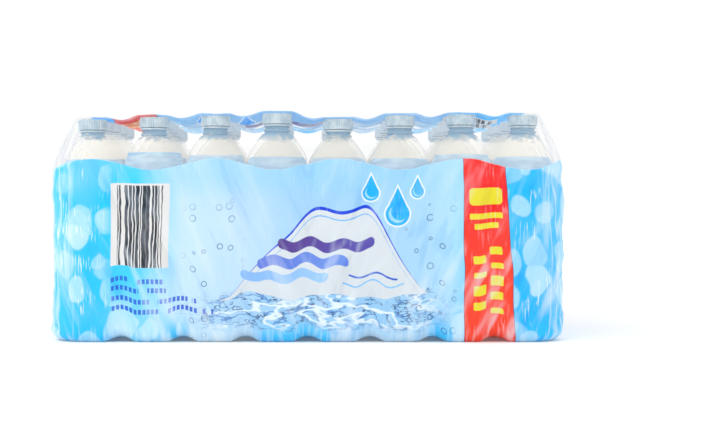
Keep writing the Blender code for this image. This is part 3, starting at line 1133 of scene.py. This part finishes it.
class WATERCASE_OT_bottles(bpy.types.Operator):
    """Build the clear bottles"""

    bl_idname = "watercase.bottles"
    bl_label = "Bottles"

    def execute(self, context):
        settings = context.scene.watercase_bottles
        profile = [(0.0150, 0.0030), (0.0190, 0.0005), (0.0240, 0.0), (0.0288, 0.0032), (0.0304, 0.0085)]
        for rib in range(6):
            low = 0.016 + rib * 0.0095
            profile += [(0.0304, low), (0.0296, low + 0.0022), (0.0304, low + 0.0044)]
        profile += [(0.0304, 0.074), (0.0292, 0.082), (0.0290, 0.088), (0.0292, 0.094), (0.0304, 0.102)]
        profile += [(0.0299, 0.1035), (0.0299, 0.1500), (0.0304, 0.1515), (0.0304, 0.1640)]
        profile += [(0.0303, 0.1695), (0.0300, 0.1735), (0.0288, 0.1775), (0.0238, 0.1855)]
        profile += [(0.0188, 0.1930), (0.0150, 0.1978), (0.0120, 0.1996), (0.0134, 0.2007)]
        profile += [(0.0134, 0.2019), (0.0118, 0.2030), (0.0118, 0.2040)]
        profile += [(0.0126, 0.2047), (0.0118, 0.2056), (0.0118, 0.2078)]
        bottle = turn_profile("bottles", profile, settings.sides)
        bottles = stand_copies(bottle, bottle_places())
        nodes = [bottle_node(row, column) for row in range(ROWS) for column in range(COLUMNS)]
        finish_piece(bottles, bottle_material(settings), nodes)
        return {"FINISHED"}


class WATERCASE_OT_water(bpy.types.Operator):
    """Fill the bottles with water"""

    bl_idname = "watercase.water"
    bl_label = "Water"

    def execute(self, context):
        settings = context.scene.watercase_bottles
        level = settings.water_level
        profile = [(0.0225, 0.0012), (0.0296, 0.0090), (0.0290, 0.0400), (0.0290, 0.0740)]
        profile += [(0.0283, 0.0880), (0.0290, 0.1020), (0.0292, 0.1640), (0.0290, 0.1725)]
        profile += [(0.0268, level - 0.0006), (0.0262, level)]
        water = turn_profile("water", profile, settings.sides)
        draw = Random(11)
        rises = list(FRONT_FILLS)
        rises += [draw.uniform(-FILL_RANGE, FILL_RANGE) for _ in range(COLUMNS * (ROWS - 1))]
        water = stand_copies(water, bottle_places(), rises)
        finish_piece(water, water_material(settings))
        return {"FINISHED"}


class WATERCASE_OT_caps(bpy.types.Operator):
    """Build the ribbed caps and the bands below them"""

    bl_idname = "watercase.caps"
    bl_label = "Caps"

    def execute(self, context):
        settings = context.scene.watercase_bottles
        low, high = CAP_FOOT_Z, BOTTLE_HEIGHT
        profile = [(0.0144, low), (0.0148, low + 0.0006), (0.0148, high - 0.0018)]
        profile += [(0.0144, high - 0.0006), (0.0136, high), (0.0060, high + 0.0001)]
        cap = turn_profile("caps", profile, settings.cap_ribs * 2)
        for vertex in cap.data.vertices:
            if not low < vertex.co.z < high - 0.001:
                continue
            turn = Vector((vertex.co.x, vertex.co.y)).angle_signed(Vector((1, 0)), 0.0)
            between_ribs = round(turn / (pi / settings.cap_ribs)) % 2
            if between_ribs:
                vertex.co.x *= CAP_RIB_SHARE
                vertex.co.y *= CAP_RIB_SHARE
        band = turn_profile("band", BAND_PROFILE, BAND_SIDES)
        select_only(cap, band)
        bpy.ops.object.join()
        caps = stand_copies(cap, bottle_places())
        nodes = [f"cap_{row}_{column + 1}" for row in (1, ROWS) for column in range(COLUMNS)]
        finish_piece(caps, cap_material(settings), nodes, angle=28)
        return {"FINISHED"}


class WATERCASE_OT_labels(bpy.types.Operator):
    """Wrap a thin label round each bottle"""

    bl_idname = "watercase.labels"
    bl_label = "Labels"

    def execute(self, context):
        settings = context.scene.watercase_bottles
        select_only()
        bpy.ops.mesh.primitive_cylinder_add(
            vertices=settings.sides, radius=LABEL_RADIUS, depth=LABEL_HEIGHT,
            end_fill_type="NOTHING", location=(0.0, 0.0, LABEL_MIDDLE_Z),
        )
        label = context.object
        label.name = "labels"
        bpy.ops.object.transform_apply(location=True, rotation=False, scale=False)
        labels = stand_copies(label, bottle_places())
        finish_piece(labels, label_material(), angle=60)
        return {"FINISHED"}


class WATERCASE_OT_wrap(bpy.types.Operator):
    """Shrink the printed film round the case"""

    bl_idname = "watercase.wrap"
    bl_label = "Wrap"

    def execute(self, context):
        settings = context.scene.watercase_wrap
        loops = wrap_grid()
        select_only()
        bpy.ops.mesh.primitive_grid_add(
            x_subdivisions=len(loops) - 1, y_subdivisions=len(loops[0]) - 1, size=10.0
        )
        wrap = context.object
        wrap.name = "wrap_film"
        set_points(wrap.data, loops, settings.crease_depth)
        bpy.ops.object.mode_set(mode="EDIT")
        bpy.ops.mesh.select_all(action="SELECT")
        bpy.ops.mesh.remove_doubles(threshold=0.00002)
        bpy.ops.object.mode_set(mode="OBJECT")
        finish_piece(wrap, wrap_material(settings), ("wrap",), angle=60)
        return {"FINISHED"}


class WATERCASE_OT_studio(bpy.types.Operator):
    """Set the floor, the lights and the camera"""

    bl_idname = "watercase.studio"
    bl_label = "Studio"

    def execute(self, context):
        settings = context.scene.watercase_studio
        scene = context.scene
        select_only()
        bpy.ops.mesh.primitive_grid_add(x_subdivisions=8, y_subdivisions=8, size=60.0)
        floor = context.object
        floor.name = "studio_floor"
        floor.data.materials.append(floor_material())

        world = bpy.data.worlds.new("Studio")
        world.use_nodes = True
        g = Graph(world.node_tree)
        ahead = g.parts(g.node("TexCoord").outputs["Generated"])["Y"]
        shade = g.ease(ahead, -0.85, -0.35, settings.front_shade, 1.0)
        strength = g.between(g.seen(), g.times(shade, settings.surround), 1.0)
        g.fill(world.node_tree.nodes["Background"], {"Color": WHITE, "Strength": strength})
        scene.world = world

        add_light("key_light", (-0.9, -1.3, 1.7), (1.3, 0.9), settings.key_power)
        for name, x, y in (("strip_left", -1.25, -1.05), ("strip_right", 1.30, -0.95)):
            add_light(name, (x, y, 0.65), (0.16, 1.3), settings.strip_power)

        bpy.ops.object.camera_add(
            location=(0.0, -settings.distance, CAMERA_HEIGHT), rotation=(pi / 2, 0.0, 0.0)
        )
        camera = context.object
        camera.name = "camera"
        camera.data.sensor_width = SENSOR_WIDTH
        camera.data.lens = FOCAL_PIXELS / PHOTO_WIDTH * SENSOR_WIDTH
        camera.data.shift_x = (PHOTO_WIDTH / 2 - AXIS_PIXEL[0]) / PHOTO_WIDTH
        camera.data.shift_y = (AXIS_PIXEL[1] - PHOTO_HEIGHT / 2) / PHOTO_WIDTH
        camera.data.clip_end = 100.0
        scene.camera = camera
        scene.view_settings.view_transform = "Standard"
        scene.cycles.use_denoising = True
        scene.cycles.max_bounces = 6
        scene.cycles.diffuse_bounces = 3
        scene.cycles.glossy_bounces = 3
        scene.cycles.transparent_max_bounces = 48
        return {"FINISHED"}


def add_light(name, place, size, power):
    """Adds a soft rectangular light that faces the case, and that the film doesn't mirror."""
    aim = Vector((0.0, 0.0, AIM_HEIGHT)) - Vector(place)
    turn = aim.to_track_quat("-Z", "Y").to_euler()
    bpy.ops.object.light_add(type="AREA", location=place, rotation=turn)
    light = bpy.context.object
    light.name = name
    light.data.shape = "RECTANGLE"
    light.data.size, light.data.size_y = size
    light.data.energy = power
    light.visible_glossy = False


class WATERCASE_PT_panel(bpy.types.Panel):
    """The pieces of the case, each with its sizes and colours"""

    bl_idname = "WATERCASE_PT_panel"
    bl_label = "Water Case"
    bl_space_type = "VIEW_3D"
    bl_region_type = "UI"
    bl_category = "Water Case"

    def draw(self, context):
        for title, settings, operators in (
            ("Bottles", context.scene.watercase_bottles, (WATERCASE_OT_bottles, WATERCASE_OT_water,
                                                          WATERCASE_OT_caps, WATERCASE_OT_labels)),
            ("Wrap", context.scene.watercase_wrap, (WATERCASE_OT_wrap,)),
            ("Studio", context.scene.watercase_studio, (WATERCASE_OT_studio,)),
        ):
            box = self.layout.box()
            box.label(text=title)
            for name in settings.__annotations__:
                box.prop(settings, name)
            for operator in operators:
                box.operator(operator.bl_idname)


CLASSES = (
    BottleSettings, WrapSettings, StudioSettings, WATERCASE_OT_bottles, WATERCASE_OT_water,
    WATERCASE_OT_caps, WATERCASE_OT_labels, WATERCASE_OT_wrap, WATERCASE_OT_studio,
    WATERCASE_PT_panel,
)


def register():
    for each in CLASSES:
        bpy.utils.register_class(each)
    bpy.types.Scene.watercase_bottles = bpy.props.PointerProperty(type=BottleSettings)
    bpy.types.Scene.watercase_wrap = bpy.props.PointerProperty(type=WrapSettings)
    bpy.types.Scene.watercase_studio = bpy.props.PointerProperty(type=StudioSettings)


def unregister():
    del bpy.types.Scene.watercase_bottles
    del bpy.types.Scene.watercase_wrap
    del bpy.types.Scene.watercase_studio
    for each in reversed(CLASSES):
        bpy.utils.unregister_class(each)


def main():
    register()
    bpy.ops.watercase.bottles()
    bpy.ops.watercase.water()
    bpy.ops.watercase.caps()
    bpy.ops.watercase.labels()
    bpy.ops.watercase.wrap()
    bpy.ops.watercase.studio()


if __name__ == "__main__":
    main()
